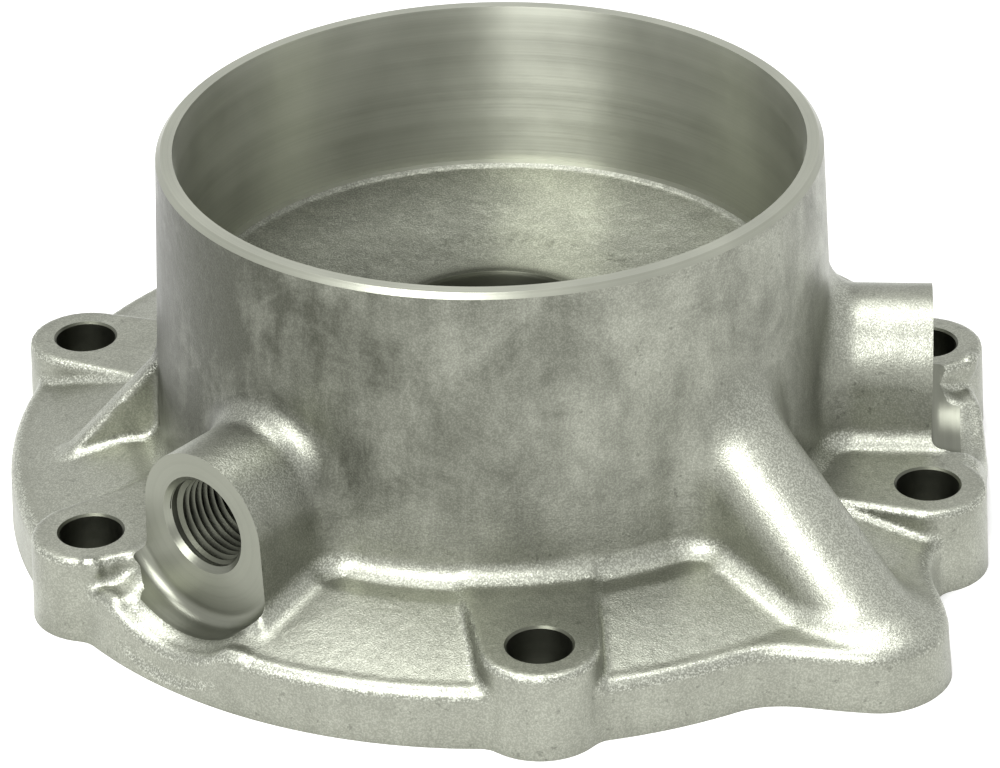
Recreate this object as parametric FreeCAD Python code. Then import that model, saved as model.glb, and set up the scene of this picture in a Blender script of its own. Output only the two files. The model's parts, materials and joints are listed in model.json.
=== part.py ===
import FreeCAD, Part
import math
import os

V = FreeCAD.Vector

# One casting in aluminium alloy, machined on the faces that seal or carry a screw.
# Millimetres. Origin: on the axis of the cup, in the mounting face. +Z points out of the cup.
# Angles are degrees about +Z from +X. The front of the part, with the marking field, looks to -Y.

# cup
RIM_Z = 69.0
BORE_R = 55.0
BORE_DEPTH = 31.3
RIM_OUT_R = BORE_R + 3.5
CUP_FOOT_R = BORE_R + 6.9
RIM_CHAMFER = 1.0
LEAD_IN_R = 0.5
LEAD_IN_Z = 2.5
LEDGE_W = 1.2
DISH_DROP = 2.0
DISH_DRAFT = 0.8
DISH_IN_R = 32.0
LEDGE_Z = RIM_Z - BORE_DEPTH
HUB_FACE_Z = LEDGE_Z - 4.7
HUB_BORE_R = 18.0

# flange: flat near the cup, then a cone down to the rounded edge
FLANGE_W = 26.5
FLANGE_R = CUP_FOOT_R + FLANGE_W
FLANGE_RIM_Z = 10.6
SHOULDER_R = CUP_FOOT_R + 5.6
FLANGE_EDGE_R = 2.6

# bolt bosses and the pads that join them to the cup
BOLT_R = 5.5
BOLT_CIRCLE_R = FLANGE_R - 6.7
BOSS_Z = 15.8
BOSS_R = 10.3
BOSS_CHAMFER = 0.7
PAD_FOOT_W = 11.4
PAD_START_R = CUP_FOOT_R + 4.3
BOLT_ANGLES = (13.2, 61.9, 110.5, 159.0, 210.3, 274.3, 336.4)

# threaded ports: angle and distance of the sealing face
PORTS = ((229.2, 76.5), (-4.5, 78.0))
PORT_Z = 26.2
PORT_R = 13.3
PORT_THREAD_R = 8.0
PORT_THREAD_DEPTH = 17.0
PORT_CHAMFER = 1.0
SPOT_R = 18.5
SPOT_LENGTH = 5.0
SPOT_LIP_R = 6.0
PASSAGE_R = 3.5
PASSAGE_MOUTH_R = BORE_R - 8.0
PASSAGE_MOUTH_Z = LEDGE_Z + 0.9
PORT_FIELD_EDGE_R = 3.0

# duct rib and its lug
DUCT_ANGLE = -47.2
LUG_DIST = FLANGE_R + 2.2
LUG_R = 14.1
LUG_Z = 11.3
LUG_BLEND_R = 12.0
RIB_R = 9.5
RIB_TOP_Z = LEDGE_Z + 4.1
RIB_TOP_AT = CUP_FOOT_R - 1.9
RIB_SLOPE = 0.76
DUCT_R = 4.0
DUCT_FOOT_Z = 7.5
DUCT_MOUTH_Z = LEDGE_Z - 0.5
DUCT_MOUTH_R = BORE_R - 11.0

# gusset
GUSSET_ANGLE = 186.0
GUSSET_L = 16.6
GUSSET_TOP_Z = 29.5
GUSSET_TOE_Z = 12.4
GUSSET_T = 4.4

# casting: draft, blend where features grow out of the cup wall, and how deep they reach into it
DRAFT = 2.5
WALL_FILLET = 4.0
BURIED_R = BORE_R - 8.0

# underside
CORE_R = BORE_R - 0.8
CORE_Z = HUB_FACE_Z - 8.0
CORE_FILLET = 6.0
HUB_FILLET = 4.0
HUB_R = 26.0
HUB_LOW_Z = 12.0

# number of flats that stand for the round of a large, of a small and of a hidden casting radius, and the
# flat of a blended root as a share of its radius
FLAT_COUNT = 3
EDGE_FLAT_COUNT = 2
CORE_FLAT_COUNT = 1
ROOT_FLAT_SHARE = 0.72
# the seams of the turned faces lie at the back
SEAM_ANGLE = 90.0
# length by which a cutting tool stands out of the metal
CLEAR = 1.0
TAN = math.tan(math.radians(DRAFT))


def polar(r, deg, z=0.0):
    a = math.radians(deg)
    return V(r * math.cos(a), r * math.sin(a), z)


def corner(before, at, after, radius, flats=FLAT_COUNT):
    """Points of the rounded corner, which lie on its arc and are joined by flats."""
    a = (before - at).normalize()
    b = (after - at).normalize()
    half = a.getAngle(b) / 2.0
    start = at + a * (radius / math.tan(half))
    centre = at + (a + b).normalize() * (radius / math.sin(half))
    axis = a.cross(b)
    points = []
    for i in range(flats + 1):
        arm = start - centre
        turn = FreeCAD.Rotation(axis, -math.degrees(math.pi - 2 * half) * i / flats)
        points.append(centre + turn.multVec(arm))
    return points


def revolved(outline, angle=360.0):
    return Part.Face(Part.makePolygon(outline + outline[:1])).revolve(V(), V(0, 0, 1), angle)


def turned(points, angle=360.0):
    """Solid of revolution about Z; a point (r, z, radius) or (r, z, radius, flats) rounds that corner."""
    flat = [V(p[0], 0, p[1]) for p in points]
    outline = []
    for i, p in enumerate(points):
        if len(p) == 2:
            outline.append(flat[i])
        else:
            outline += corner(flat[i - 1], flat[i], flat[(i + 1) % len(flat)], *p[2:])
    return revolved(outline, angle)


def placed(shape, at, deg=0.0):
    """Copy turned about Z by deg, then moved."""
    s = shape.copy()
    s.rotate(V(), V(0, 0, 1), deg)
    s.translate(at)
    return s


def laid(shape, deg, z):
    """Copy laid down so that its +Z becomes the outward direction deg at height z."""
    s = shape.copy()
    s.rotate(V(), V(0, 1, 0), 90)
    s.rotate(V(), V(0, 0, 1), deg)
    s.translate(V(0, 0, z))
    return s


def arch(radius, depth):
    """Face in the plane X = 0, centred on the arch: round back, drafted flanks down to depth."""
    d = math.atan(TAN)
    right = V(0, radius * math.cos(d), radius * math.sin(d))
    left = V(0, -right.y, right.z)
    foot = right.y + (right.z + depth) * TAN
    sides = Part.makePolygon([left, V(0, -foot, -depth), V(0, foot, -depth), right])
    return Part.Face(Part.Wire([Part.Arc(right, V(0, 0, radius), left).toShape()] + sides.Edges))


def cup_blank():
    """Outer wall of the cup, carried down to the mounting face and solid for now."""
    chamfer = [(RIM_OUT_R, RIM_Z - RIM_CHAMFER), (RIM_OUT_R - RIM_CHAMFER, RIM_Z)]
    return placed(turned([(0, 0), (CUP_FOOT_R, 0)] + chamfer + [(0, RIM_Z)]), V(), SEAM_ANGLE)


def cup_foot():
    """Ring that carries the casting fillet between the cup wall and the ground around it."""
    rim = V(RIM_OUT_R, 0, RIM_Z - RIM_CHAMFER)
    foot = V(CUP_FOOT_R, 0, 0)
    at = foot + (rim - foot) * (BOSS_Z / rim.z)
    ground = at + V(2 * WALL_FILLET, 0, 0)
    fillet = corner(ground, at, rim, WALL_FILLET)
    outline = [V(BURIED_R, 0, 0), V(fillet[0].x, 0, 0)] + fillet + [V(BURIED_R, 0, fillet[-1].z)]
    return placed(revolved(outline), V(), SEAM_ANGLE)


def port_boss(angle, face):
    s = arch(PORT_R, PORT_Z).extrude(V(face + CLEAR - BURIED_R, 0, 0))
    return placed(s, polar(BURIED_R, angle, PORT_Z), angle)


def rib():
    """Round-backed rib that slopes from the cup wall down into the lug."""
    lean = math.atan(RIB_SLOPE)
    run = LUG_DIST + LUG_R - FLANGE_EDGE_R * 1.7 - BURIED_R
    crest = RIB_TOP_Z + RIB_SLOPE * (RIB_TOP_AT - BURIED_R)
    s = arch(RIB_R, 4 * RIB_R).extrude(V(2 * run, 0, 0))
    s.rotate(V(), V(0, 1, 0), math.degrees(lean))
    s.translate(V(BURIED_R, 0, crest - RIB_R / math.cos(lean)))
    keep = Part.makeBox(run, 8 * RIB_R, RIM_Z, V(BURIED_R, -4 * RIB_R, 0))
    return placed(s.common(keep), V(), DUCT_ANGLE)


def gusset():
    """Small drafted web, its back sloping down from the cup wall to the flange."""
    h = GUSSET_T / 2.0
    toe = CUP_FOOT_R + GUSSET_L
    rise = (GUSSET_TOP_Z - GUSSET_TOE_Z) / GUSSET_L
    top = GUSSET_TOE_Z + rise * (toe - BURIED_R)
    corners = ((BURIED_R, 0), (toe, 0), (toe, GUSSET_TOE_Z), (BURIED_R, top))
    outline = [V(x, -h, z) for x, z in corners]
    s = Part.Face(Part.makePolygon(outline + outline[:1])).extrude(V(0, GUSSET_T, 0))
    slant = math.hypot(toe - BURIED_R, top - GUSSET_TOE_Z)
    back = [e for e in s.Edges if abs(e.Length - slant) < 0.01]
    return placed(s.makeChamfer(GUSSET_T * 0.3, back), V(), GUSSET_ANGLE)


def rim_profile(r, top):
    """Corner points of a drafted edge, r wide at the mounting face and rounded at the top."""
    return [(r, 0), (r - top * TAN, top, FLANGE_EDGE_R, EDGE_FLAT_COUNT)]


def flange_disc():
    top = [(SHOULDER_R, BOSS_Z), (0, BOSS_Z)]
    return placed(turned([(0, 0)] + rim_profile(FLANGE_R, FLANGE_RIM_Z) + top), V(), SEAM_ANGLE)


def lug():
    """Foot of the duct rib, with a hollow blend to the flange on either side."""
    at = polar(LUG_DIST, DUCT_ANGLE)
    disc = turned([(0, 0)] + rim_profile(LUG_R, LUG_Z) + [(0, LUG_Z)])
    web = placed(disc, at, DUCT_ANGLE + 180)
    a = FLANGE_R + LUG_BLEND_R
    b = LUG_R + LUG_BLEND_R
    turn = math.degrees(math.acos((a * a + LUG_DIST ** 2 - b * b) / (2 * a * LUG_DIST)))
    mouth = LUG_BLEND_R + LUG_Z * TAN
    edge = (mouth, LUG_Z, FLANGE_EDGE_R, EDGE_FLAT_COUNT)
    hollow = turned([(0, -CLEAR), (LUG_BLEND_R - CLEAR * TAN, -CLEAR), edge,
                     (4 * LUG_R, LUG_Z), (4 * LUG_R, BOSS_Z), (0, BOSS_Z)])
    for side in (-1, 1):
        along = DUCT_ANGLE + side * turn
        c = polar(a, along)
        root = polar(BURIED_R, DUCT_ANGLE)
        on_lug = at + (c - at) * (LUG_R / b)
        outline = [root, polar(BURIED_R, along), polar(FLANGE_R, along), c, on_lug, at, root]
        prism = Part.Face(Part.makePolygon(outline)).extrude(V(0, 0, LUG_Z))
        web = web.fuse(prism.cut(placed(hollow, c)))
    return web


def boss(angle):
    """Drafted round boss with a pad of the same height that runs back to the cup."""
    at = polar(BOLT_CIRCLE_R, angle)
    low = BOSS_R + BOSS_Z * TAN
    s = placed(turned([(0, 0), (low, 0), (BOSS_R, BOSS_Z), (0, BOSS_Z)]), at, angle + 180)
    wires = []
    for z, w in ((0.0, low), (BOSS_Z, BOSS_R)):
        wide = w + PAD_FOOT_W - BOSS_R
        corners = ((PAD_START_R, -wide), (BOLT_CIRCLE_R, -w), (BOLT_CIRCLE_R, w), (PAD_START_R, wide))
        outline = [V(x, y, z) for x, y in corners]
        wires.append(Part.makePolygon(outline + outline[:1]))
    pad = placed(Part.makeLoft(wires, True, True), V(), angle)
    s = s.fuse(pad).removeSplitter()
    top = [e for e in s.Edges if all(abs(v.Point.z - BOSS_Z) < 1e-6 for v in e.Vertexes)]
    return s.makeChamfer(BOSS_CHAMFER, [e for e in top if away(e.CenterOfMass) > PAD_START_R])


def port_field():
    """Ground at boss height between the right-hand port and the bolt boss in front of it."""
    start = BOLT_ANGLES[-1]
    span = PORTS[1][0] + 360.0 - start
    edge = (FLANGE_R - BOSS_Z * TAN, BOSS_Z, PORT_FIELD_EDGE_R, EDGE_FLAT_COUNT)
    return placed(turned([(BURIED_R, 0), (FLANGE_R, 0), edge, (BURIED_R, BOSS_Z)], span), V(), start)


def away(point):
    return math.hypot(point.x, point.y)


def hollow_edges(shape):
    """Edges in hollow corners sharper than 12 degrees, above the mounting face."""
    beside = {}
    for f in shape.Faces:
        for e in f.Edges:
            beside.setdefault(e.hashCode(), []).append((f, e))
    found = []
    for pair in beside.values():
        if len(pair) != 2:
            continue
        (f, e), (g, _) = pair
        t = (e.FirstParameter + e.LastParameter) / 2
        m = e.valueAt(t)
        n = f.normalAt(*f.Surface.parameter(m))
        k = g.normalAt(*g.Surface.parameter(m))
        into = n.cross(e.tangentAt(t))
        if into.Length < 1e-9 or m.z < CLEAR or math.degrees(n.getAngle(k)) < 12:
            continue
        into.normalize()
        ahead, behind = [f.distToShape(Part.Vertex(m + into * step))[0] for step in (0.05, -0.05)]
        if ahead > behind:
            into = into * -1
        if into.dot(k) > 0.02:
            found.append(e)
    return found


def blend_roots(shape):
    """Blends the ports and the rib into the cup wall, with a flat as wide as the fillet's arc."""
    return shape.makeChamfer(WALL_FILLET * ROOT_FLAT_SHARE, hollow_edges(shape))


def hole(r, z0, z1):
    return placed(Part.makeCylinder(r, z1 - z0 + 2 * CLEAR), V(0, 0, z0 - CLEAR))


def spot_tool(face):
    """Spot-facing cutter: flat end, straight side, then a flare that leaves the pocket's round lip."""
    start = face + SPOT_LENGTH
    high = face + 2 * SPOT_R
    side = V(SPOT_R, 0, face)
    root = V(SPOT_R, 0, start + SPOT_LIP_R)
    flare = corner(side, root, V(2 * SPOT_R, 0, root.z), SPOT_LIP_R, EDGE_FLAT_COUNT)
    return revolved([V(0, 0, face), side] + flare + [V(flare[-1].x, 0, high), V(0, 0, high)])


def port_tools(angle, face):
    """Spot face, tapped hole and the passage that slants up into the dish."""
    bottom = face - PORT_THREAD_DEPTH
    mouth = PORT_THREAD_R + PORT_CHAMFER + CLEAR
    drill = turned([(0, face + CLEAR), (mouth, face + CLEAR), (PORT_THREAD_R, face - PORT_CHAMFER),
                    (PORT_THREAD_R, bottom), (0, bottom)])
    low = polar(bottom, angle, PORT_Z)
    high = polar(PASSAGE_MOUTH_R, angle, PASSAGE_MOUTH_Z)
    passage = Part.makeCylinder(PASSAGE_R, (high - low).Length, low, high - low)
    return [laid(spot_tool(face), angle, PORT_Z), laid(drill, angle, PORT_Z), passage]


def cup_tools():
    """Lead-in, turned bore, ledge, cast dish and the bore through the hub."""
    cast_r = BORE_R - LEDGE_W
    flare = BORE_R + LEAD_IN_R * (1 + CLEAR / LEAD_IN_Z)
    inside = turned([(0, RIM_Z + CLEAR), (flare, RIM_Z + CLEAR), (BORE_R, RIM_Z - LEAD_IN_Z),
                     (BORE_R, LEDGE_Z), (cast_r, LEDGE_Z), (cast_r - DISH_DRAFT, LEDGE_Z - DISH_DROP),
                     (DISH_IN_R, HUB_FACE_Z), (0, HUB_FACE_Z)])
    return [inside, hole(HUB_BORE_R, HUB_LOW_Z, HUB_FACE_Z)]


def underside_tool():
    """Hollow below the floor, around the hub; its outer wall is turned, so it has no draft."""
    core = turned([(HUB_R, HUB_LOW_Z), (0, HUB_LOW_Z), (0, 0), (CORE_R, 0),
                   (CORE_R, CORE_Z, CORE_FILLET, CORE_FLAT_COUNT),
                   (HUB_R, CORE_Z, HUB_FILLET, CORE_FLAT_COUNT)])
    return placed(core, V(), SEAM_ANGLE)


def duct_tools():
    """Duct drilled down the rib from inside the cup, met by a hole from the mounting face."""
    top = DUCT_FOOT_Z + DUCT_R / 2
    foot = Part.makeCylinder(DUCT_R, top + CLEAR, V(0, 0, -CLEAR))
    low = polar(LUG_DIST, DUCT_ANGLE, DUCT_FOOT_Z)
    high = polar(DUCT_MOUTH_R, DUCT_ANGLE, DUCT_MOUTH_Z)
    slant = Part.makeCylinder(DUCT_R, (high - low).Length, low, high - low)
    return [placed(foot, polar(LUG_DIST, DUCT_ANGLE), DUCT_ANGLE), slant]


def cutters():
    tools = cup_tools() + [underside_tool()] + duct_tools()
    for angle, face in PORTS:
        tools += port_tools(angle, face)
    for a in BOLT_ANGLES:
        tools.append(placed(hole(BOLT_R, 0, BOSS_Z), polar(BOLT_CIRCLE_R, a), a))
    return tools


if __name__ == "__main__":
    os.makedirs("parts", exist_ok=True)
    ports = [port_boss(angle, face) for angle, face in PORTS]
    body = blend_roots(cup_blank().fuse(ports + [rib()]).removeSplitter())
    outer = [gusset(), cup_foot(), flange_disc(), port_field(), lug()] + [boss(a) for a in BOLT_ANGLES]
    body = body.fuse(outer).removeSplitter().cut(cutters())
    print("housing:", body.isValid(), len(body.Solids), "solid,", len(body.Faces), "faces")
    body.exportStep("parts/housing.step")
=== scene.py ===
# %% [markdown]
# # A cast aluminium gearbox cover
# The cover is one aluminium casting: a flange with seven screw bosses, an open cup in which a piston slides,
# two tapped ports and a rib that holds a drilled duct. A foundry makes the rough shape, with a round in every
# corner, and a lathe and a mill then cut the few faces that seal. This lesson follows the real work: first
# the rough casting, then the finishes, then the cuts, each of which leaves its own finish. The CAD solid has
# the same shape with flats in place of the casting's rounds, so it gives the size, and this piece is shown in
# its place.

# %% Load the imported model
import json
import math

import bmesh
import bpy
import numpy as np
from mathutils import Matrix, Vector


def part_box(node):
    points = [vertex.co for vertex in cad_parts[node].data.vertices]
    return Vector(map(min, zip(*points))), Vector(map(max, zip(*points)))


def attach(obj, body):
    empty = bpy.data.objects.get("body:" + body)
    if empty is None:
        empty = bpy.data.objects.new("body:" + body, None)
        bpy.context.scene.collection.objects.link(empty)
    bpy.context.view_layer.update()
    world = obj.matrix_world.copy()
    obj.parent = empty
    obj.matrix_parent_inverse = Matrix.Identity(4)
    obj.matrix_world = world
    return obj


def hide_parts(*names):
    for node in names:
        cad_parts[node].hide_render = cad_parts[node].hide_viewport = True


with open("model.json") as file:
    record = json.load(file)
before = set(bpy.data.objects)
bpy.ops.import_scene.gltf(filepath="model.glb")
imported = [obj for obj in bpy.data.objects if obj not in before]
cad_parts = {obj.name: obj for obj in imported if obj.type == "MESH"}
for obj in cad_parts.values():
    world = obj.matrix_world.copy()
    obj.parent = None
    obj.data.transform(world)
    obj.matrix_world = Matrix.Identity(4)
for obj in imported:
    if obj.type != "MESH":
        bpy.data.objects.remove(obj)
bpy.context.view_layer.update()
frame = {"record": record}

MM = 0.001
low, high = (np.array(corner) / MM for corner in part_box("housing"))
mounts = {mount["name"]: mount for mount in frame["record"]["mounts"]}
print("the casting is", np.round(high - low, 1), "mm and has", len(mounts), "mounts")

# %% [markdown]
# ## The camera
# The photograph was taken from far away with a long lens, which shows in the rim: it is a nearly perfect
# ellipse. A lens of 160 mm on a 36 mm wide sensor gives the same slight perspective. The camera is tilted
# 29 degrees down and turned 1.5 degrees about its own axis, which is written as a matrix of its three axes.

# %% Camera
TILT = math.radians(29.19)
ROLL = math.radians(1.5055)
ahead = Vector((0, math.cos(TILT), -math.sin(TILT)))
right = Vector((1, 0, 0))
down = ahead.cross(right)
camera_right = right * math.cos(ROLL) + down * math.sin(ROLL)
camera_up = right * math.sin(ROLL) - down * math.cos(ROLL)
camera = bpy.data.objects.new("camera", bpy.data.cameras.new("camera"))
camera.data.lens = 159.96
camera.data.sensor_width = 36
camera.data.clip_end = 20
place = Matrix((camera_right, camera_up, -ahead)).transposed().to_4x4()
place.translation = Vector((0.747, -699.626, 410.474)) * MM
camera.matrix_world = place
bpy.context.scene.collection.objects.link(camera)
bpy.context.scene.camera = camera
bpy.context.scene.view_settings.view_transform = "Standard"
print("camera at", [round(v, 3) for v in place.translation])

# %% [markdown]
# ## Rounded solids as distances
# A casting has no sharp corner, and a bevel tool struggles where many rounds of different size meet. Here each
# solid is a field instead: a number at every point of a grid that says how far the point is from the surface,
# below zero inside. Two fields join with one line of arithmetic that leaves a round of a chosen radius in the
# corner, as the sand of the mould does.

# %% Grid of points, in millimetres
CELL = 0.7
MARGIN = 6 * CELL
x, y, z = (np.arange(a - MARGIN, b + MARGIN, CELL, dtype=np.float32) for a, b in zip(low, high))
start = np.array((x[0], y[0], z[0]))
x, y, z = x[:, None, None], y[None, :, None], z[None, None, :]
away = np.hypot(x, y)
print("grid of", x.size, "x", y.size, "x", z.size, "points")


# %% How two solids meet
def joined(a, b, radius):
    """Both solids, with a round of this radius in the hollow corner between them."""
    round_part = np.hypot(np.maximum(radius - a, 0), np.maximum(radius - b, 0))
    return np.maximum(radius, np.minimum(a, b)) - round_part


def overlap(a, b, radius):
    """What both solids share, with this radius on the outer corner."""
    return -joined(-a, -b, radius)


def without(a, b, radius):
    """The first solid less the second, with this radius on the edge that is left."""
    return overlap(a, -b, radius)


print("a point 3 mm from two joined planes is", joined(3.0, 3.0, 5.0).round(2), "mm from their round")


# %% [markdown]
# ## Directions and draft
# Most features point out from the cup's axis at some angle, so one helper gives the distance out and the
# distance across for an angle. Walls lean by a draft of 2.5 degrees, so that the pattern lifts out of the
# sand. The ports and the rib share one section: a round back on flanks that spread with that draft.

# %% Helpers for directions and round backs
DRAFT = math.tan(math.radians(2.5))


def turned_to(angle):
    """Distance out along a direction in the plan, and distance across it."""
    a = math.radians(angle)
    return x * math.cos(a) + y * math.sin(a), y * math.cos(a) - x * math.sin(a)


def arched(beside, above, radius):
    """Round back that runs on downwards in drafted flanks."""
    flank = np.abs(beside) - radius + above * DRAFT
    return np.where(above > 0, np.hypot(beside, above) - radius, flank)


def angle_of(point):
    """Direction of a point in the plan, in degrees."""
    return math.degrees(math.atan2(point.y, point.x))


print("draft is", round(100 * DRAFT, 2), "mm for every 100 mm of height")

# %% [markdown]
# ## What the drawing fixes
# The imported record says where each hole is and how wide. The cast shapes are set around those places, so they
# follow the solid model. A face that is machined later has stock on it: the pattern is made a little too long
# there.

# %% Places of the screws, the ports and the duct
STOCK = 2.5
PORT_CHAMFER = 1.0
RIM_Z = mounts["rim_face"]["pos_m"][2] / MM
BORE_R = mounts["piston_bore"]["dims"]["r_mm"]
bolts = [Vector(m["pos_m"]) / MM for name, m in mounts.items() if name.startswith("bolt_hole")]
duct = Vector(mounts["duct_foot"]["pos_m"]) / MM
ports = {}
for name in ("left", "right"):
    mount = mounts["port_" + name]
    middle = Vector(mount["pos_m"]) / MM
    face = middle.xy.length + mount["dims"]["length_mm"] / 2 + PORT_CHAMFER
    ports[name] = (angle_of(Vector(mount["axis"])), face, middle.z)
print(len(bolts), "screw holes; port faces at", {k: round(v[1], 1) for k, v in ports.items()})

# %% [markdown]
# ## The flange
# The flange is a round plate whose top falls gently outwards, as a cone, to a rounded edge. The lug that the
# duct ends in stands out of it, with a hollow blend on either side. Both outlines are joined first in the
# plan, and one overlap with the cone then rounds the whole edge.

# %% Flange and lug
FLANGE_R, FLANGE_LIP_Z, FLANGE_LIP_W, FLANGE_EDGE_R = 88.4, 11.3, 3, 2.2
SHOULDER_R, BOSS_Z, BOSS_STEP, LIP_STEP = 67.5, 15.8, 0.5, 0.4
LUG_R, LUG_BLEND_R = 14.1, 12.0

lug = np.hypot(x - duct.x, y - duct.y) - LUG_R
outline = joined(away - FLANGE_R, lug, LUG_BLEND_R) + z * DRAFT
fall = (BOSS_Z - FLANGE_LIP_Z) / (FLANGE_R - FLANGE_LIP_W - SHOULDER_R)
top = np.clip(BOSS_Z - BOSS_STEP - (away - SHOULDER_R) * fall, FLANGE_LIP_Z - LIP_STEP, BOSS_Z - BOSS_STEP)
ground = overlap(outline, (z - top) * math.cos(math.atan(fall)), FLANGE_EDGE_R)
print("the flange's top falls", round(math.degrees(math.atan(fall)), 1), "degrees")

# %% [markdown]
# ## The bosses
# Under each screw head the flange is raised to a level boss, on a pad that widens as it runs back to the cup.
# Every screw has the same pad, so a function draws one and a loop places all seven.

# %% Bosses and their pads
BOSS_R, PAD_FOOT_W, PAD_START_R, PAD_BACK_R = 10.3, 11.4, 66.2, 40
PAD_EDGE_R, PAD_FILLET_R = 1.0, 1.1
FAR = 100.0


def pad_of(bolt):
    """Boss at a screw, with its pad."""
    reach = bolt.xy.length
    along, beside = turned_to(angle_of(bolt))
    half = BOSS_R + (PAD_FOOT_W - BOSS_R) * (reach - along) / (reach - PAD_START_R)
    plan = np.where(along < reach, np.abs(beside) - half, np.hypot(along - reach, beside) - BOSS_R)
    plan = np.maximum(plan, PAD_BACK_R - along)
    return overlap(plan - (BOSS_Z - z) * DRAFT, z - BOSS_Z, PAD_EDGE_R)


raised = np.full(ground.shape, FAR, np.float32)
for bolt in bolts:
    raised = np.minimum(raised, pad_of(bolt))
print(len(bolts), "bosses of", 2 * BOSS_R, "mm across")

# %% [markdown]
# ## The high ground
# Between the right-hand port and the screw in front of it the whole flange is as high as the bosses. It is cut
# out of the round plate by two straight lines through the axis.

# %% High ground beside the right-hand port
HIGH_EDGE_R = 3.0
_, past_boss = turned_to(angle_of(bolts[-1]))
_, past_port = turned_to(ports["right"][0])
high_ground = np.maximum(np.maximum(-past_boss, past_port), -x)
high_ground = np.maximum(high_ground, overlap(away - FLANGE_R + z * DRAFT, z - BOSS_Z, HIGH_EDGE_R))
raised = np.minimum(raised, high_ground)
ground = joined(ground, raised, PAD_FILLET_R)
print("the flange fills", int((ground < 0).sum() * CELL ** 3 / 1000), "cm3 before it is trimmed")

# %% [markdown]
# ## The cup and its ports
# The wall is a steep cone. Each port is a round-backed boss that stands out of it, with a wide fillet, because
# thick metal against a thin wall would crack as it cools if the corner were sharp. The rim and the port faces
# are left proud by their stock.

# %% Cup wall and port bosses
CUP_FOOT_R, RIM_OUT_R = 61.9, 58.5
PORT_R, PORT_FILLET_R = 13.3, 5.0
INSIDE_R = 30  # everything that grows out of the wall starts here, well inside it

wall_draft = (CUP_FOOT_R - RIM_OUT_R) / (RIM_Z - 1)
wall = np.maximum(away - CUP_FOOT_R + z * wall_draft, z - RIM_Z - STOCK)
for angle, face, height in ports.values():
    along, beside = turned_to(angle)
    boss = np.maximum(arched(beside, z - height, PORT_R),
                      np.maximum(along - face - STOCK / 2, INSIDE_R - along))
    wall = joined(wall, boss, PORT_FILLET_R)
print("the wall leans", round(math.degrees(math.atan(wall_draft)), 1), "degrees and has", len(ports), "ports")

# %% [markdown]
# ## The duct's rib
# Oil runs through a hole drilled down inside a sloping rib, from the cup to the lug. The rib is the same round
# back as the ports have, laid on a slope, and it ends where the flange's outline does.

# %% Rib
RIB_R, RIB_SLOPE, RIB_TOP_Z, RIB_TOP_AT = 9.5, 0.76, 41.8, 60.0
RIB_INSET, RIB_END_R, RIB_FILLET_R = 1.0, 3.0, 6.0

along, beside = turned_to(angle_of(duct))
above = (z - RIB_TOP_Z + (along - RIB_TOP_AT) * RIB_SLOPE) * math.cos(math.atan(RIB_SLOPE)) + RIB_R
rib = np.maximum(arched(beside, above, RIB_R), INSIDE_R - along)
rib = overlap(rib, outline + RIB_INSET, RIB_END_R)
wall = joined(wall, rib, RIB_FILLET_R)
print("the rib slopes", round(math.degrees(math.atan(RIB_SLOPE))), "degrees")

# %% [markdown]
# ## The gusset, and all of it joined
# A thin three-cornered web stiffens the cup on the left. It gets a small edge round, the foot of the cup a
# larger fillet, and then the underside is cut flat, with stock left on it for facing.

# %% Gusset
GUSSET_ANGLE, GUSSET_R, GUSSET_TOP_Z, GUSSET_TOE_Z, GUSSET_T = 186.0, 78.5, 29.5, 12.4, 4.4
GUSSET_EDGE_R, GUSSET_FILLET_R, FOOT_FILLET_R = 0.9, 1.4, 3.6

along, beside = turned_to(GUSSET_ANGLE)
gusset_fall = (GUSSET_TOP_Z - GUSSET_TOE_Z) / (GUSSET_R - CUP_FOOT_R)
back = (z - GUSSET_TOE_Z - (GUSSET_R - along) * gusset_fall) * math.cos(math.atan(gusset_fall))
gusset = overlap(np.abs(beside) - GUSSET_T / 2, np.maximum(back, along - GUSSET_R), GUSSET_EDGE_R)
gusset = np.maximum(gusset, INSIDE_R - along)
casting = joined(joined(wall, ground, FOOT_FILLET_R), gusset, GUSSET_FILLET_R)
casting = np.maximum(casting, -STOCK - z)
print("the casting fills", int((casting < 0).sum() * CELL ** 3 / 1000), "cm3 without its hollows")

# %% [markdown]
# ## The pockets of the ports
# The cutter that faces a port is wider than the port, so it needs room in the flange in front of it. The
# pattern has a round pocket there with a rolled lip, and a small bead stands along the lip where the sand
# gave way. The bead is a thin torus that is kept only close to the surface.

# %% Pockets
SPOT_R, SPOT_LENGTH = 18.5, 5.0
LIP_R, LIP_EDGE_R, POCKET_BACK = 6.0, 0.7, 3
BEAD_R, BEAD_OUT, BEAD_AHEAD, BEAD_PROUD, BEAD_EDGE_R, BEAD_FILLET_R = 1.9, 2.8, 3.9, 0.5, 0.6, 0.5

for angle, face, height in ports.values():
    along, beside = turned_to(angle)
    spread = np.hypot(beside, z - height)
    lip = overlap(SPOT_R - spread, along - face - SPOT_LENGTH - LIP_R, LIP_R)
    pocket = np.maximum(np.maximum(-lip, spread - SPOT_R - LIP_R), face + POCKET_BACK - along)
    bead = np.hypot(spread - SPOT_R - BEAD_OUT, along - face - SPOT_LENGTH - BEAD_AHEAD) - BEAD_R
    bead = overlap(bead, casting - BEAD_PROUD, BEAD_EDGE_R)
    casting = joined(without(casting, pocket, LIP_EDGE_R), bead, BEAD_FILLET_R)
print("pockets reach", SPOT_LENGTH + LIP_R, "mm in front of the port faces")

# %% [markdown]
# ## The cores
# The hollows are made with cores of sand: one leaves the dished floor of the cup and one the hollow under it,
# around the hub. The dish climbs slowly and then faster, as a bowl does. Where the lathe will cut, the core's
# edge is kept thin, so that the cut leaves it clean.

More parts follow.
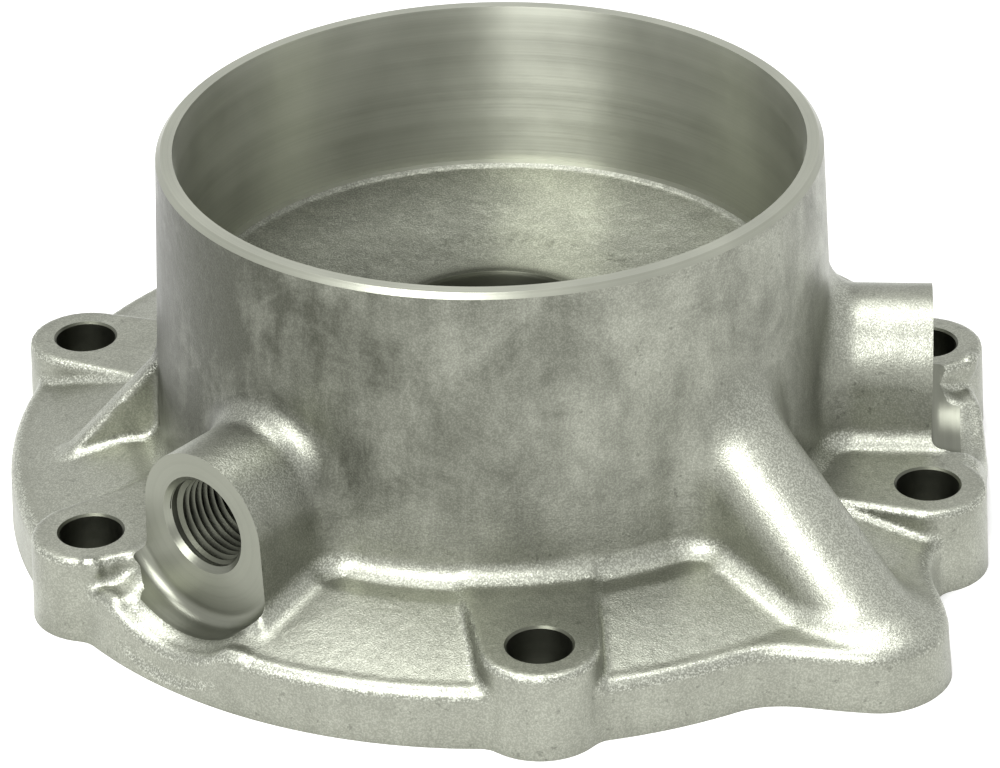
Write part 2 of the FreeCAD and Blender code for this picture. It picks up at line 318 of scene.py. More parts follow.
# %% Dish
LEDGE_Z = RIM_Z - 31.3
DISH_R, DISH_EDGE_Z, DISH_IN_R, DISH_Z, DISH_CURVE = 53.8, 37.3, 22.0, 33.0, 1.5
DISH_SLANT_IN, DISH_SLANT_OUT, THIN_EDGE_R = 1.0, 0.8, 0.1

climb = np.clip((away - DISH_IN_R) / (DISH_R - DISH_IN_R), 0, 1) ** DISH_CURVE
dish_top = DISH_Z + (DISH_EDGE_Z - DISH_Z) * climb
dish_top = dish_top + np.maximum(away - DISH_R + DISH_SLANT_IN, 0)
casting = without(casting, np.maximum(away - DISH_R - DISH_SLANT_OUT, dish_top - z), THIN_EDGE_R)
print("the dish is", round(DISH_EDGE_Z - DISH_Z, 1), "mm deep")

# %% Hollow and hub
CORE_R, CORE_Z, CORE_TOP_R, CORE_FILLET_R, CORE_EDGE_R = 54.2, 25.0, 6.0, 4.0, 1.0
HUB_R, HUB_LOW_Z, HUB_BORE_R, HUB_EDGE_R, HUB_STOCK = 26.0, 12.0, 18.0, 1.5, 0.8
HAIR = 0.020  # the skin stays this far inside the solid model's box

hub = overlap(away - HUB_R, HUB_LOW_Z - z, HUB_EDGE_R)
core = without(overlap(away - CORE_R, z - CORE_Z, CORE_TOP_R), hub, CORE_FILLET_R)
casting = without(casting, core, CORE_EDGE_R)
casting = without(casting, away - HUB_BORE_R + HUB_STOCK, THIN_EDGE_R)
casting += HAIR
print("the casting fills", int((casting < 0).sum() * CELL ** 3 / 1000), "cm3 with its hollows")

# %% [markdown]
# ## Where the rounds are tight
# The cast skin's material paints a highlight on tight rounds. The field knows where those rounds are: its
# second differences along the three axes add up to the bend of the surface. The sum is kept here and becomes an
# attribute of the mesh, which the material reads.

# %% Bend of the surface
bend = np.zeros_like(casting)
for way in range(3):
    rows = np.moveaxis(casting, way, 0)
    np.moveaxis(bend, way, 0)[1:-1] += (rows[2:] + rows[:-2] - 2 * rows[1:-1]) / CELL ** 2
on_skin = np.abs(casting) < CELL
print("half of the skin bends less than", round(float(np.median(np.abs(bend[on_skin]))), 3), "per mm")

# %% [markdown]
# ## From the field to a skin
# Surface nets turn the field into a mesh: every grid cell that the surface passes through gets one vertex, at
# the mean of the places where the surface cuts the cell's edges, and every cut edge gets one four-sided face
# that joins the four cells around it.


# %% Surface nets
def skin_of(field):
    """Vertices and faces of the surface where the field is zero."""
    shape = np.array(field.shape) - 1
    count = shape.prod()
    sums = [np.zeros(count) for _ in range(4)]
    rings = []
    for way in range(3):
        near = np.moveaxis(field, way, 0)[:-1]
        far = np.moveaxis(field, way, 0)[1:]
        hit = np.argwhere((near < 0) != (far < 0))
        a, b = near[tuple(hit.T)], far[tuple(hit.T)]
        others = [i for i in range(3) if i != way]
        corner = np.empty_like(hit)
        corner[:, [way] + others] = hit
        point = corner.astype(float)
        point[:, way] += a / (a - b)
        ring = []
        for one, two in ((0, 0), (1, 0), (1, 1), (0, 1)):
            cell = corner.copy()
            cell[:, others[0]] -= one
            cell[:, others[1]] -= two
            number = np.ravel_multi_index(cell.T, shape)
            ring.append(number)
            for i in range(3):
                sums[i] += np.bincount(number, point[:, i], count)
            sums[3] += np.bincount(number, minlength=count)
        ring = np.array(ring).T
        turn = (a < 0) == (way == 1)
        ring[turn] = ring[turn][:, ::-1]
        rings.append(ring)
    used = np.flatnonzero(sums[3])
    vertices = np.array([total[used] for total in sums[:3]]).T / sums[3][used][:, None]
    new_number = np.zeros(count, int)
    new_number[used] = np.arange(len(used))
    return vertices * CELL + start, new_number[np.concatenate(rings)]


# %% Objects from points and faces
def mesh_object(name, vertices, faces):
    """Object from points in millimetres."""
    mesh = bpy.data.meshes.new(name)
    mesh.from_pydata((np.asarray(vertices) * MM).tolist(), [], np.asarray(faces).tolist())
    thing = bpy.data.objects.new(name, mesh)
    bpy.context.scene.collection.objects.link(thing)
    return thing


def close_up(thing):
    """Joins points that lie on each other and turns every face outwards."""
    work = bmesh.new()
    work.from_mesh(thing.data)
    bmesh.ops.remove_doubles(work, verts=work.verts, dist=1e-7)
    bmesh.ops.recalc_face_normals(work, faces=work.faces)
    loose = sum(not edge.is_manifold for edge in work.edges)
    volume = work.calc_volume(signed=True) / MM ** 3 / 1000
    print(thing.name, "holds", round(volume, 1), "cm3, open edges:", loose)
    work.to_mesh(thing.data)
    work.free()


cover = mesh_object("cover", *skin_of(casting))
close_up(cover)
print("skin of", len(cover.data.polygons), "faces")

# %% [markdown]
# ## Helpers for node materials
# Every finish here is a network of nodes. One small function adds a node, sets it and links it, so that each
# material reads as a list of its steps. Where two materials need the same effect, that effect is a node group.


# %% Nodes
def put(tree, kind, inputs=None, **settings):
    """Adds a node; inputs maps a socket's name or number to a value or to the socket that feeds it."""
    node = tree.nodes.new("ShaderNode" + kind)
    for name, value in settings.items():
        setattr(node, name, value)
    for key, value in (inputs or {}).items():
        socket = node.inputs[key]
        if isinstance(value, bpy.types.NodeSocket):
            tree.links.new(value, socket)
        else:
            socket.default_value = value
    return node


def maths(tree, operation, *values, clamp=False):
    """Result of a Math node."""
    return put(tree, "Math", dict(enumerate(values)), operation=operation, use_clamp=clamp).outputs[0]


def vector_maths(tree, operation, *values):
    """Vector that a Vector Math node gives."""
    return put(tree, "VectorMath", dict(enumerate(values)), operation=operation).outputs[0]


def noise(tree, where, scale, detail=2.0, roughness=0.5, distortion=0.0):
    """Grey cloud that varies from place to place."""
    return put(tree, "TexNoise", {"Vector": where, "Scale": scale, "Detail": detail, "Roughness": roughness,
                                  "Distortion": distortion}).outputs[0]


# %% Fades, mixes and ramps
def fade(tree, value, begin, end, at_begin=0.0, at_end=1.0):
    """Goes evenly from one number at begin to another at end, and keeps them beyond."""
    return put(tree, "MapRange", {0: value, 1: begin, 2: end, 3: at_begin, 4: at_end}).outputs[0]


def mix(tree, amount, first, second):
    """Number between two numbers."""
    return put(tree, "Mix", {0: amount, 2: first, 3: second}).outputs[0]


def mix_colours(tree, amount, first, second, way="MIX"):
    """Colour between two colours; a colour is three numbers or a socket."""
    first, second = (colour + (1,) if isinstance(colour, tuple) else colour for colour in (first, second))
    return put(tree, "Mix", {0: amount, 6: first, 7: second}, data_type="RGBA", blend_type=way).outputs[2]


def ramp(tree, value, stops):
    """Grey from a Colour Ramp with stops of (place, grey)."""
    node = put(tree, "ValToRGB", {0: value})
    for i, (place_at, grey) in enumerate(stops):
        stop = node.color_ramp.elements[i] if i < 2 else node.color_ramp.elements.new(place_at)
        stop.position = place_at
        stop.color = (grey, grey, grey, 1)
    return node.outputs[0]


# %% Groups and materials
def group(name, inputs, outputs):
    """Empty node group with named sockets: its tree, its inputs and its output node."""
    tree = bpy.data.node_groups.new(name, "ShaderNodeTree")
    for label, kind, value in inputs:
        socket = tree.interface.new_socket(label, in_out="INPUT", socket_type="NodeSocket" + kind)
        socket.default_value = value
    for label, kind in outputs:
        tree.interface.new_socket(label, in_out="OUTPUT", socket_type="NodeSocket" + kind)
    return tree, tree.nodes.new("NodeGroupInput").outputs, tree.nodes.new("NodeGroupOutput").inputs


def use(tree, effect, inputs):
    """Places a node group in a material or in another group, and gives its outputs."""
    return put(tree, "Group", inputs, node_tree=effect).outputs


def material(name):
    """New metal: the material, its tree, its shader's inputs and the object coordinates."""
    made = bpy.data.materials.new(name)
    made.use_nodes = True
    tree = made.node_tree
    tree.nodes["Principled BSDF"].inputs["Metallic"].default_value = 1.0
    where = put(tree, "TexCoord").outputs["Object"]
    return made, tree, tree.nodes["Principled BSDF"].inputs, where


# %% [markdown]
# ## The grain of the sand
# The mould prints its sand on the metal, and blasting rounds it off. The grain is a fine noise with the dents
# of round beads in it, over a slow swell. It gives a height for the bump, and a sparkle: the tips of the grain,
# which catch the light.

# %% Grain
grain, given, result = group(
    "cast_grain",
    [("Where", "Vector", (0, 0, 0)), ("Grain Size mm", "Float", 0.6), ("Depth mm", "Float", 0.03)],
    [("Height", "Float"), ("Sparkle", "Float")])
scale = maths(grain, "DIVIDE", 1 / MM, given["Grain Size mm"])
fine = noise(grain, given["Where"], scale, 3.0, 0.6)
beads = put(grain, "TexVoronoi", {"Vector": given["Where"], "Scale": scale}).outputs["Distance"]
swell = noise(grain, given["Where"], maths(grain, "MULTIPLY", scale, 0.12), 1.0)
pebbled = maths(grain, "ADD", fine, maths(grain, "MULTIPLY", beads, -0.5))
heights = maths(grain, "ADD", pebbled, maths(grain, "MULTIPLY", swell, 2.2))
grain_depth = maths(grain, "MULTIPLY", given["Depth mm"], MM)
grain.links.new(maths(grain, "MULTIPLY", heights, grain_depth), result["Height"])
grain.links.new(ramp(grain, fine, [(0.45, 0.0), (0.60, 1.0)]), result["Sparkle"])
print("grain group has", len(grain.nodes), "nodes")

# %% [markdown]
# ## The rings of a turning tool
# A lathe tool leaves a fine groove at every turn, so its marks depend only on how far a point is from the axis
# and how far along it. Those two distances are the coordinates of a noise, which is stretched into rings that
# way. Five finishes use it about different axes, so it is a group with the axis as an input.

# %% Rings
rings, given, result = group(
    "tool_rings",
    [("Where", "Vector", (0, 0, 0)), ("Centre", "Vector", (0, 0, 0)), ("Axis", "Vector", (0, 0, 1)),
     ("Feed mm", "Float", 0.3), ("Depth mm", "Float", 0.01)],
    [("Height", "Float"), ("Tone", "Float")])
from_centre = vector_maths(rings, "SUBTRACT", given["Where"], given["Centre"])
crossed = vector_maths(rings, "CROSS_PRODUCT", from_centre, given["Axis"])
radius = put(rings, "VectorMath", {0: crossed}, operation="LENGTH").outputs["Value"]
run = put(rings, "VectorMath", {0: from_centre, 1: given["Axis"]}, operation="DOT_PRODUCT").outputs["Value"]
line = put(rings, "CombineXYZ", {0: radius, 1: run}).outputs[0]
per_metre = maths(rings, "DIVIDE", 1 / MM, given["Feed mm"])
grooves = noise(rings, line, per_metre)
broad = noise(rings, line, maths(rings, "MULTIPLY", per_metre, 0.15))
groove_depth = maths(rings, "MULTIPLY", given["Depth mm"], MM)
rings.links.new(maths(rings, "MULTIPLY", grooves, groove_depth), result["Height"])
rings.links.new(maths(rings, "MULTIPLY", maths(rings, "ADD", grooves, broad), 0.5), result["Tone"])
print("ring group has", len(rings.nodes), "nodes")

# %% [markdown]
# ## The cast skin
# A blasted casting is satin grey with a fine grain that sparkles. Oil and oxide leave dark clouds and streaks,
# most of all on the smooth wall of the cup, and painted shade and painted highlights are laid over them. The
# material is built in layers, and each layer first needs to know where it is: on the wall, in the cup or on a
# slope.

# %% Cast skin: which part of the casting a point is on
WALL_AT, WALL_FADE = 62.5, 66.5
cast_skin, tree, shader, where = material("cast_skin")
sand_print = use(tree, grain, {"Where": where, "Grain Size mm": 0.32, "Depth mm": 0.04})
x_y_z = put(tree, "SeparateXYZ", {0: where}).outputs
squares = [maths(tree, "MULTIPLY", x_y_z[i], x_y_z[i]) for i in range(2)]
from_axis = maths(tree, "SQRT", maths(tree, "ADD", *squares))
height_up = x_y_z[2]
on_wall = maths(tree, "MULTIPLY", fade(tree, from_axis, WALL_FADE * MM, WALL_AT * MM),
                fade(tree, height_up, 18 * MM, 30 * MM))
in_cup = fade(tree, from_axis, 56 * MM, 54 * MM)
facing_up = put(tree, "SeparateXYZ", {0: put(tree, "NewGeometry").outputs["Normal"]}).outputs[2]
print("the wall's stains fade out from", round(WALL_AT - CUP_FOOT_R, 1), "mm outside its foot")

# %% [markdown]
# Stains come next. Soft clouds and upright streaks are added and pushed through a ramp, painted shade darkens
# the left of the wall, and small flecks lie everywhere.

# %% Cast skin: stains
cloud = noise(tree, where, 55.0, 6.0, 0.7, 0.5)
upright = vector_maths(tree, "MULTIPLY", where, (1.0, 1.0, 0.22))
streak = noise(tree, upright, 210.0, 4.0, 0.6)
patchy = maths(tree, "ADD", maths(tree, "MULTIPLY", cloud, 0.68), maths(tree, "MULTIPLY", streak, 0.32))
smudge = ramp(tree, patchy, [(0.40, 0.0), (0.52, 0.45), (0.66, 1.0)])
smudges = maths(tree, "MULTIPLY", smudge, mix(tree, on_wall, 0.30, 0.66))
# Painted shade: the wall grows darker towards the left, by the point's x, up to 0.85 at 55 mm left of the axis.
left_wall_painted_shade = maths(tree, "MULTIPLY", on_wall, fade(tree, x_y_z[0], 20 * MM, -55 * MM, 0.0, 0.85))
speck_field = noise(tree, where, 620.0, 3.0, 0.7)
flecks = maths(tree, "MULTIPLY", ramp(tree, speck_field, [(0.60, 0.0), (0.68, 1.0)]), 0.45)
print("stains made of", len(tree.nodes), "nodes so far")

# %% [markdown]
# The floor of the cup has marks of its own, a broken ring of specks 30 mm from the axis, where the core met its
# seat, and it gets painted shade around the hub's hole.

# %% Cast skin: marks and painted shade in the dish
SEAT_R, SEAT_W = 30, 10
# Painted shade: a dark ring round the hub's hole, darkest at its edge.
hub_hole_painted_shade = fade(tree, from_axis, (HUB_BORE_R + 4.5) * MM, (HUB_BORE_R + 0.5) * MM, 0.0, 1.3)
off_seat = maths(tree, "ABSOLUTE", maths(tree, "SUBTRACT", from_axis, SEAT_R * MM))
seat = maths(tree, "MULTIPLY", fade(tree, off_seat, SEAT_W / 2 * MM, 0.0, 0.0, 0.75),
             ramp(tree, speck_field, [(0.44, 0.0), (0.64, 1.0)]))
in_dish = fade(tree, height_up, 28 * MM, 31 * MM)
dish_marks_and_shade = maths(tree, "MULTIPLY", maths(tree, "MAXIMUM", hub_hole_painted_shade, seat), in_dish)
# The marks are the flecks, the seat's specks and the painted shade at the hub's hole.
marks = maths(tree, "MAXIMUM", flecks, dish_marks_and_shade)
# How dark the skin is: real stains, flecks and specks, together with the painted shade on the wall's left and
# at the hub's hole.
amount = maths(tree, "MAXIMUM", maths(tree, "ADD", smudges, left_wall_painted_shade, clamp=True), marks, clamp=True)
clean = mix_colours(tree, sand_print["Sparkle"], (0.255, 0.262, 0.220), (0.345, 0.355, 0.300))
stained_and_shaded = mix_colours(tree, amount, clean, (0.26, 0.262, 0.245), "MULTIPLY")
print("stained metal made of", len(tree.nodes), "nodes so far")

# %% [markdown]
# Painted highlights make the slopes and the tight rounds the brightest places. One mask takes the slopes by how
# far they face up, and the other takes the tight rounds that face partly up, speckled by the grain. Both fade
# on faces that are level. Inside the cup an even share of the highlight colour is mixed in instead.

# %% Cast skin: painted highlights on rounds and slopes
# Painted highlight on slopes, by how far they face up.
slopes = ramp(tree, facing_up, [(0.32, 0.0), (0.62, 0.44), (0.90, 0.50), (0.992, 0.0)])
leaning = ramp(tree, facing_up, [(0.10, 0.0), (0.30, 0.8), (0.95, 0.8), (0.99, 0.0)])
tight_round = put(tree, "Attribute", attribute_name="tight").outputs["Fac"]
# Painted highlight on tight rounds that face partly up, flecked by the grain.
painted_round_highlight = maths(tree, "MULTIPLY", maths(tree, "MULTIPLY", tight_round, leaning), sand_print["Sparkle"])
# Painted highlight: slopes and tight rounds outside the cup, an even 0.26 inside it, taken away by the marks in
# the dish.
painted_highlight = mix(tree, in_cup, maths(tree, "MAXIMUM", slopes, painted_round_highlight), 0.26)
painted_highlight = maths(tree, "MULTIPLY", painted_highlight, maths(tree, "SUBTRACT", 1.0, dish_marks_and_shade))
# The colour of the painted highlight, flecked by the grain.
painted_highlight_colour = mix_colours(tree, sand_print["Sparkle"], (0.34, 0.351, 0.302), (0.64, 0.658, 0.572))
tree.links.new(mix_colours(tree, painted_highlight, stained_and_shaded, painted_highlight_colour), shader["Base Color"])
tree.links.new(fade(tree, cloud, 0.3, 0.7, 0.36, 0.46), shader["Roughness"])
sand_bump = put(tree, "Bump", {"Height": sand_print["Height"], "Strength": 1.0, "Distance": 1.0}).outputs[0]
tree.links.new(sand_bump, shader["Normal"])
print("cast skin has", len(tree.nodes), "nodes")

# %% [markdown]
# ## The machined faces
# The rim, the bore and its ledge were turned about the cup's axis, and each port was spot-faced about its own.
# Grooves draw a highlight out across themselves, so the shader is anisotropic, with a tangent that lies across
# the grooves. One function makes every finish from its axis, feed, roughness and tone.


# %% Machined metal
def machined(name, centre, axis, feed, roughness, tone, sweep=0.3):
    """Bright metal with tool marks about an axis; sweep is how far they draw a highlight out."""
    made, tree, shader, where = material(name)
    turned = use(tree, rings, {"Where": where, "Centre": centre, "Axis": axis, "Feed mm": feed,
                               "Depth mm": 0.012})
    cloud = noise(tree, where, 60.0, 4.0)
    mixed = maths(tree, "ADD", maths(tree, "MULTIPLY", turned["Tone"], 0.6),
                  maths(tree, "MULTIPLY", cloud, 0.4))
    dark = tuple(0.82 * part for part in tone)
    shade = mix_colours(tree, ramp(tree, mixed, [(0.38, 0.0), (0.62, 1.0)]), dark, tone)
    tree.links.new(shade, shader["Base Color"])
    tree.links.new(fade(tree, mixed, 0.3, 0.7, roughness * 0.8, roughness * 1.2), shader["Roughness"])
    bump = put(tree, "Bump", {"Height": turned["Height"], "Distance": 1.0}).outputs[0]
    tree.links.new(bump, shader["Normal"])
    around = vector_maths(tree, "CROSS_PRODUCT", axis, vector_maths(tree, "SUBTRACT", where, centre))
    normal = put(tree, "NewGeometry").outputs["Normal"]
    tree.links.new(vector_maths(tree, "CROSS_PRODUCT", normal, around), shader["Tangent"])
    shader["Anisotropic"].default_value = sweep
    return made


# %% The finish of each tool
CENTRE, UPWARDS = (0, 0, 0), (0, 0, 1)


def outwards(angle):
    """Unit vector of a direction in the plan."""
    return Vector((math.cos(math.radians(angle)), math.sin(math.radians(angle)), 0))


faced = machined("faced_metal", CENTRE, UPWARDS, 0.30, 0.34, (0.40, 0.412, 0.345))
lathe = machined("turned_metal", CENTRE, UPWARDS, 0.35, 0.38, (0.45, 0.462, 0.395), 0.90)
# Painted shade: every drilled face, the threads among them, gets a very dark tone that stands for the shade
# inside the holes.
shaded_drilled = machined("shaded_drilled_metal", CENTRE, UPWARDS, 0.25, 0.36, (0.12, 0.125, 0.098))
# Painted reflection: the spot faces get a dark tone that stands for the dark surroundings they reflect.
spot_faces_painted_dark = {name: machined("spot_face_dark_reflection_" + name, (0, 0, height * MM), outwards(angle), 0.4, 0.34,
                             (0.235, 0.243, 0.20), 0.7)
              for name, (angle, face, height) in ports.items()}
print("materials:", [m.name for m in bpy.data.materials])

# %% [markdown]
# ## The cutters
# Each cutter is a solid that the tool sweeps: an outline turned about the tool's axis. An outline is a list of
# points, each the distance along the axis and the radius there.


# %% How a cutter is made
def turned_tool(name, outline, foot, axis, finish, steps=192):
    """Solid of revolution; the outline is (along, radius) from the foot of the axis, in millimetres."""
    axis = Vector(axis).normalized()
    first = axis.orthogonal().normalized()
    second = axis.cross(first)
    points, faces = [], []
    n = len(outline)
    for i in range(steps):
        a = 2 * math.pi * i / steps
        arm = first * math.cos(a) + second * math.sin(a)
        for along, radius in outline:
            points.append(Vector(foot) + axis * along + arm * radius)
        for j in range(n):
            k = (j + 1) % n
            m = (i + 1) % steps
            faces.append((i * n + j, i * n + k, m * n + k, m * n + j))
    # a face between two points on the axis has no area
    faces = [f for f in faces if outline[f[0] % n][1] > 0 or outline[f[1] % n][1] > 0]
    tool = mesh_object(name, [tuple(p) for p in points], faces)
    close_up(tool)
    tool.data.materials.append(finish)
    return tool


def drill(name, low_end, high_end, radius, finish):
    """Straight hole between two points."""
    low_end, high_end = Vector(low_end), Vector(high_end)
    length = (high_end - low_end).length
    return turned_tool(name, [(0, 0), (0, radius), (length, radius), (length, 0)], low_end,
                       high_end - low_end, finish, 64)


# %% [markdown]
# The lathe works about the cup's axis: it cuts the rim with its chamfer, the bore with a lead-in for the
# piston's seal, the ledge at its foot, the mounting face and the hub. The mill then drills the screw holes and
# breaks their edges with a chamfer.

# %% Lathe tools and screw holes
CLEAR, WIDE_R = 20, 130  # how far a tool reaches past the metal, up and out
RIM_EDGE_W, SLANT_LOW, SLANT_OUT, RIM_TOOL_R = 0.9, 3.5, 2.5, 75
LEAD_IN_LOW, LEAD_IN_W = 2.5, 0.6
BOLT_CHAMFER, BOLT_TOOL_LOW = 0.4, 2

tools = [turned_tool("rim_tool", [
    (RIM_Z, 0), (RIM_Z, RIM_OUT_R - RIM_EDGE_W), (RIM_Z - SLANT_LOW, RIM_OUT_R + SLANT_OUT),
    (RIM_Z - SLANT_LOW, RIM_TOOL_R), (RIM_Z + CLEAR, RIM_TOOL_R), (RIM_Z + CLEAR, 0)],
    CENTRE, UPWARDS, faced, 256)]
tools.append(turned_tool("bore_tool", [
    (LEDGE_Z, 0), (LEDGE_Z, BORE_R), (RIM_Z - LEAD_IN_LOW, BORE_R), (RIM_Z + 0.5, BORE_R + LEAD_IN_W),
    (RIM_Z + 0.5, 0)], CENTRE, UPWARDS, lathe, 256))
tools.append(turned_tool("facing_tool", [(-CLEAR, 0), (-CLEAR, WIDE_R), (0, WIDE_R), (0, 0)],
                         CENTRE, UPWARDS, lathe, 64))
tools.append(turned_tool("hub_tool", [
    (HUB_LOW_Z - 3, 0), (HUB_LOW_Z - 3, HUB_BORE_R), (DISH_Z - 1, HUB_BORE_R),
    (DISH_Z + 3, HUB_BORE_R + 2), (DISH_Z + 3, 0)], CENTRE, UPWARDS, shaded_drilled))

bolt_r = mounts["bolt_hole_1"]["dims"]["r_mm"]
for number, bolt in enumerate(bolts, 1):
    tools.append(turned_tool(f"bolt_drill_{number}", [
        (-BOLT_TOOL_LOW, 0), (-BOLT_TOOL_LOW, bolt_r), (BOSS_Z - BOLT_CHAMFER, bolt_r),
        (BOSS_Z + 1, bolt_r + BOLT_CHAMFER + 1), (BOSS_Z + 1, 0)],
        (bolt.x, bolt.y, 0), UPWARDS, shaded_drilled, 64))
print(len(tools), "cutters made")

# %% [markdown]
# Each port is spot-faced, which leaves a small round in the pocket's corner, then drilled and chamfered for
# its thread. Slanted passages join the ports to the cup, and the duct is drilled from both of its ends.

# %% Port tools and oil passages
SPOT_CORNER_R, PORT_THREAD_DEPTH, PASSAGE_R = 2.2, 17.0, 3.5
DUCT_FOOT_TOP, DUCT_LOW_Z = 9.5, 7.5
thread_r = mounts["port_left"]["dims"]["r_mm"]
duct_r = mounts["duct_foot"]["dims"]["r_mm"]

for name, (angle, face, height) in ports.items():
    out, level = outwards(angle), Vector((0, 0, height))
    bottom, end = face - PORT_THREAD_DEPTH, face + SPOT_LENGTH + 0.8
    corner = [(face + SPOT_CORNER_R * (1 - math.cos(a)), SPOT_R - SPOT_CORNER_R * (1 - math.sin(a)))
              for a in np.linspace(0, math.pi / 2, 9)]
    tools.append(turned_tool("spot_tool_" + name, [(face, 0)] + corner + [(end, SPOT_R + 0.1), (end, 0)],
                             level, out, spot_faces_painted_dark[name]))
    tools.append(turned_tool("tap_drill_" + name, [
        (bottom, 0), (bottom, thread_r), (face - PORT_CHAMFER, thread_r),
        (face + 1, thread_r + PORT_CHAMFER + 1), (face + 1, 0)], level, out, spot_faces_painted_dark[name], 96))
    into_cup = out * (BORE_R - 8) + Vector((0, 0, LEDGE_Z + 0.9))
    tools.append(drill("passage_drill_" + name, out * bottom + level, into_cup, PASSAGE_R, shaded_drilled))
out = Vector((duct.x, duct.y, 0)).normalized()
tools.append(drill("duct_foot_drill", (duct.x, duct.y, -2), (duct.x, duct.y, DUCT_FOOT_TOP), duct_r, shaded_drilled))
tools.append(drill("duct_drill", (duct.x, duct.y, DUCT_LOW_Z),
                   out * (BORE_R - 11) + Vector((0, 0, LEDGE_Z - 0.5)), duct_r, shaded_drilled))
print(len(tools), "cutters made")

# %% [markdown]
# ## The cuts
# The skin is first thinned, because flat places need few faces. A Boolean then takes each cutter from the
# casting. The cut face keeps the cutter's material, as the real face keeps the tool's finish.

# %% Machine the casting
TRIANGLES = 190000
cover.data.materials.append(cast_skin)
thin = cover.modifiers.new("thin", "DECIMATE")
thin.ratio = TRIANGLES / (2 * len(cover.data.polygons))
for tool in tools:
    cut = cover.modifiers.new(tool.name, "BOOLEAN")
    cut.operation = "DIFFERENCE"
    cut.solver = "MANIFOLD"
    cut.material_mode = "TRANSFER"
    cut.object = tool
cut_mesh = bpy.data.meshes.new_from_object(cover.evaluated_get(bpy.context.evaluated_depsgraph_get()))
cover.modifiers.clear()
cover.data = cut_mesh
for tool in tools:
    bpy.data.objects.remove(tool)
print("cover has", len(cut_mesh.polygons), "faces and", [m.name for m in cut_mesh.materials])

# %% [markdown]
# ## Smooth skin, crisp edges
# The mesh is shaded smooth, and an edge is sharp where it turns by more than 35 degrees or where two finishes
# meet, because a machined face always ends in a crisp edge. For that, each edge looks up the lowest and the
# highest finish number of the faces beside it.


# %% Sharp edges round the machined faces
def read(items, field, kind=np.int32, width=1):
    """One field of all faces, edges, corners or vertices as an array."""
    values = np.zeros(width * len(items), kind)
    items.foreach_get(field, values)
    return values


cut_mesh.shade_smooth()
cut_mesh.set_sharp_from_angle(angle=math.radians(35))
finish_of_corner = np.repeat(read(cut_mesh.polygons, "material_index"), read(cut_mesh.polygons, "loop_total"))
edge_of_corner = read(cut_mesh.loops, "edge_index")
lowest = np.full(len(cut_mesh.edges), 99)
highest = np.full(len(cut_mesh.edges), -1)
np.minimum.at(lowest, edge_of_corner, finish_of_corner)
np.maximum.at(highest, edge_of_corner, finish_of_corner)
sharp = read(cut_mesh.attributes["sharp_edge"].data, "value", bool)
cut_mesh.attributes["sharp_edge"].data.foreach_set("value", sharp | (lowest != highest))
print(int((lowest != highest).sum()), "edges run round the machined faces")

# %% Tight rounds, for the cast skin's material
BEND_FROM, BEND_SPAN = 0.14, 0.30
grid_places = (read(cut_mesh.vertices, "co", np.float32, 3).reshape(-1, 3) / MM - start) / CELL
nearest = np.clip(np.rint(grid_places).astype(int), 1, np.array(bend.shape) - 2)
tight = np.clip((np.abs(bend[tuple(nearest.T)]) - BEND_FROM) / BEND_SPAN, 0, 1)
cut_mesh.attributes.new("tight", "FLOAT", "POINT").data.foreach_set("value", tight.astype(np.float32))
print("tight rounds at", int((tight > 0.5).sum()), "of", len(tight), "vertices")

# %% The cover stands for the solid housing
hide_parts("housing")
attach(cover, "root")
print(cover.name, "replaces housing")

# %% [markdown]
# ## The threads
# A screw thread is one ridge wound into a helix. Its section is drawn once and carried round the port's axis,
# with its crest rising over the first turn and sinking over the last half turn, as it does where a tap runs in
# and out.

# %% Threads
PITCH, CREST_R, TURN_STEPS = 1.5, 7.15, 64
THREAD_START, THREAD_SHORT = 1.4, 3.2
FOOT_W, CREST_W, FOOT_IN = 0.68, 0.10, 0.1
ROOT_R = thread_r + 0.05


def thread(name, angle, face, height, finish):
    """Helical ridge inside a tapped port."""
    out, level, rise = outwards(angle), Vector((0, 0, height)), Vector((0, 0, 1))
    beside = out.cross(rise)
    turns = (PORT_THREAD_DEPTH - THREAD_SHORT) / PITCH
    points, faces = [], []
    for i in range(int(turns * TURN_STEPS) + 1):
        t = i / TURN_STEPS
        grow = min(1.0, t, 2 * (turns - t))
        crest = ROOT_R - (ROOT_R - CREST_R) * max(grow, 0)
        arm = beside * math.cos(2 * math.pi * t) + rise * math.sin(2 * math.pi * t)
        middle = face - THREAD_START - t * PITCH
        for off, radius in ((FOOT_W, thread_r + FOOT_IN), (CREST_W, crest), (-CREST_W, crest),
                            (-FOOT_W, thread_r + FOOT_IN)):
            points.append(tuple(level + out * (middle + off) + arm * radius))
        if i:
            for j in range(4):
                k = (j + 1) % 4
                faces.append((4 * i - 4 + j, 4 * i - 4 + k, 4 * i + k, 4 * i + j))
    ridge = mesh_object(name, points, faces)
    ridge.data.materials.append(finish)
    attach(ridge, "root")
    return ridge


for name, (angle, face, height) in ports.items():
    ridge = thread("port_thread_" + name, angle, face, height, shaded_drilled)
    print(ridge.name, "has", len(ridge.data.polygons), "faces")

# %% [markdown]
# ## The studio
# Metal shows what is around it, so the surround and the table are white for the camera and for reflections,
# while the light that falls on the part stays at a plain level. The Light Path node tells those rays apart.
# The table is clear from below, so that the underside can be looked at too.


# %% World
def seen_directly(tree):
    """1 for the camera, a reflection or a view through glass, 0 for light on its way to a surface."""
    ray = put(tree, "LightPath").outputs
    return maths(tree, "MAXIMUM", ray["Is Camera Ray"],
                 maths(tree, "MAXIMUM", ray["Is Glossy Ray"], ray["Is Transmission Ray"]))


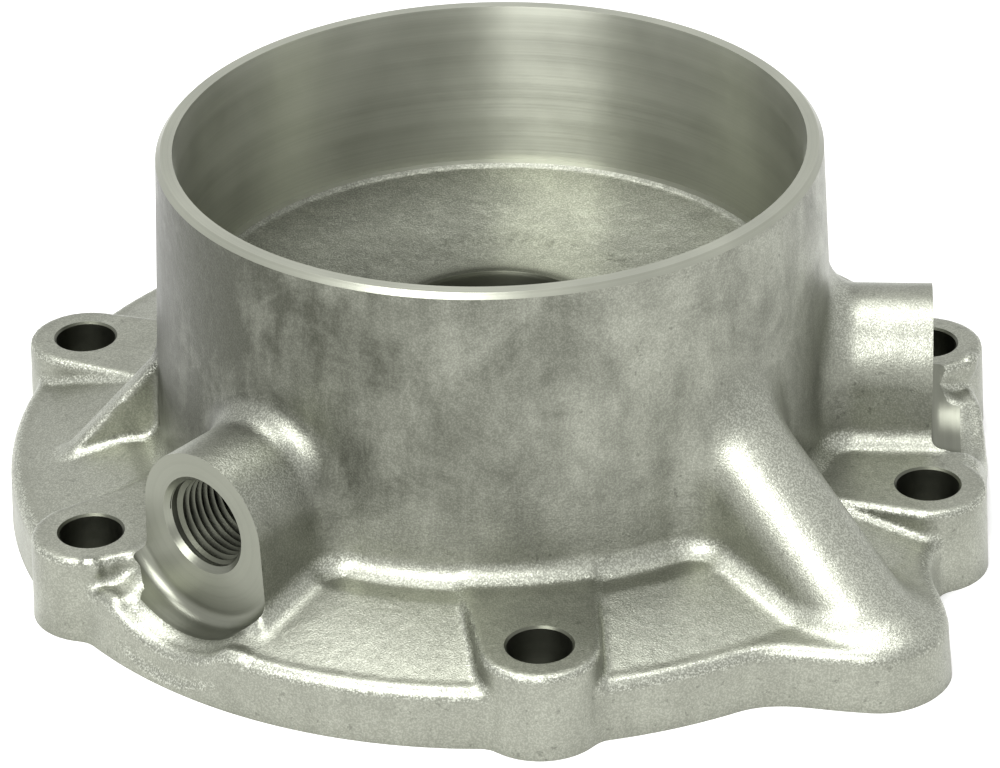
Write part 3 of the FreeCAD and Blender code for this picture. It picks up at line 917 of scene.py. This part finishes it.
WORLD_LIGHT, WORLD_SEEN = 0.4, 1.0
world = bpy.data.worlds.new("studio")
bpy.context.scene.world = world
world.use_nodes = True
tree = world.node_tree
tree.nodes.clear()
dim, white = (put(tree, "Background", {"Color": (1, 1, 1, 1), "Strength": strength}).outputs[0]
              for strength in (WORLD_LIGHT, WORLD_SEEN))
sky = put(tree, "MixShader", {0: seen_directly(tree), 1: dim, 2: white}).outputs[0]
put(tree, "OutputWorld", {"Surface": sky})
print("the surround lights the part at", WORLD_LIGHT, "and is seen at", WORLD_SEEN)

# %% Floor
FLOOR_R, FLOOR_Z, FLOOR_GLOW = 4, -0.00005, 0.45
bpy.ops.mesh.primitive_circle_add(vertices=64, radius=FLOOR_R, fill_type="NGON", location=(0, 0, FLOOR_Z))
floor = bpy.context.object
floor.name = "floor"
paper = bpy.data.materials.new("white_paper")
paper.use_nodes = True
tree = paper.node_tree
tree.nodes.clear()
lit = put(tree, "BsdfDiffuse", {"Color": (0.82, 0.82, 0.82, 1)}).outputs[0]
glow = put(tree, "Emission", {"Strength": maths(tree, "MULTIPLY", seen_directly(tree), FLOOR_GLOW)}).outputs[0]
both = put(tree, "AddShader", {0: lit, 1: glow}).outputs[0]
from_below = put(tree, "NewGeometry").outputs["Backfacing"]
clear = put(tree, "BsdfTransparent").outputs[0]
put(tree, "OutputMaterial", {"Surface": put(tree, "MixShader", {0: from_below, 1: both, 2: clear}).outputs[0]})
floor.data.materials.append(paper)
print("floor of", 2 * FLOOR_R, "m across")

# %% [markdown]
# ## The lamps
# Two large soft lamps light the part: one high above and a little behind, which shapes the slopes, and one at
# the front left, which shows the wall. Large lamps give metal wide, soft highlights.

# %% Lamps
LAMP_SIZE = 0.60
AIM = Vector((0, 0, 0.03))


def lamp(name, place, size, watts):
    """Soft square lamp that looks at the cover."""
    light = bpy.data.lights.new(name, "AREA")
    light.size = size
    light.energy = watts
    thing = bpy.data.objects.new(name, light)
    thing.location = place
    thing.rotation_euler = (AIM - Vector(place)).to_track_quat("-Z", "Y").to_euler()
    bpy.context.scene.collection.objects.link(thing)


lamp("overhead", (-0.10, 0.18, 1.08), LAMP_SIZE, 9.0)
lamp("front", (-0.33, -0.72, 0.72), LAMP_SIZE, 9.5)
print("lamps:", [light.name for light in bpy.data.lights])
